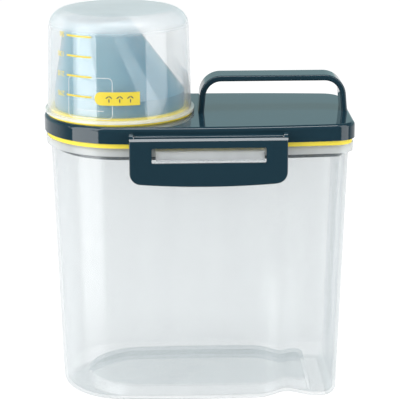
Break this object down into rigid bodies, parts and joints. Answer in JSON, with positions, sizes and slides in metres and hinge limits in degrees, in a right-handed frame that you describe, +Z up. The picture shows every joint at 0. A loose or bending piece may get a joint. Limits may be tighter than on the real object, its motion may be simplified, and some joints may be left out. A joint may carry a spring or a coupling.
{
  "type": "rice bin with flip lid",
  "caption": "Translucent dry-food bin with a waisted grip, a latched flip lid with strap handle, a slanted pour spout and an upturned measuring cup that covers the spout.",
  "frame": {"origin": "on the floor under the middle of the bin's lid outline", "axes": "+Z up; +X along the bin towards the handle end, away from the spout and cup; -Y is the long side that faces the viewer"},
  "size_m": [0.1996, 0.1208, 0.2558],
  "materials": {
    "bin_plastic": "milky translucent, satin",
    "lid_plastic": "deep teal, high gloss",
    "spout_plastic": "lighter teal, satin",
    "seal_rubber": "yellow silicone, satin",
    "pin_steel": "ground steel rod",
    "cup_plastic": "clear, glossy",
    "print_ink": "yellow print"
  },
  "bodies": {
    "container": {"container": "bin_plastic"},
    "lid": {"lid": "lid_plastic", "lid_gasket": "seal_rubber", "front_hinge_pin": "pin_steel", "rear_hinge_pin": "pin_steel", "pour_spout": "spout_plastic", "spout_seal_ring": "seal_rubber"},
    "front_latch": {"front_latch": "lid_plastic"},
    "rear_latch": {"rear_latch": "lid_plastic"},
    "measuring_cup": {"measuring_cup": "cup_plastic", "cup_scale_marks": "print_ink", "cup_label": "print_ink"}
  },
  "joints": [
    {"name": "lid_flip", "type": "hinge", "parent": "container", "child": "lid", "pos_m": [0.0054, 0.0559, 0.182], "axis": [-1, 0, 0], "range_deg": [0, 95]},
    {"name": "front_latch_swing", "type": "hinge", "parent": "lid", "child": "front_latch", "pos_m": [0.0054, -0.0559, 0.182], "axis": [-1, 0, 0], "range_deg": [0, 100]},
    {"name": "rear_latch_swing", "type": "hinge", "parent": "container", "child": "rear_latch", "pos_m": [0.0054, 0.0559, 0.182], "axis": [1, 0, 0], "range_deg": [0, 15]},
    {"name": "cup_lift", "type": "slide", "parent": "lid", "child": "measuring_cup", "axis": [0, 0, 1], "range_m": [0, 0.07]}
  ]
}
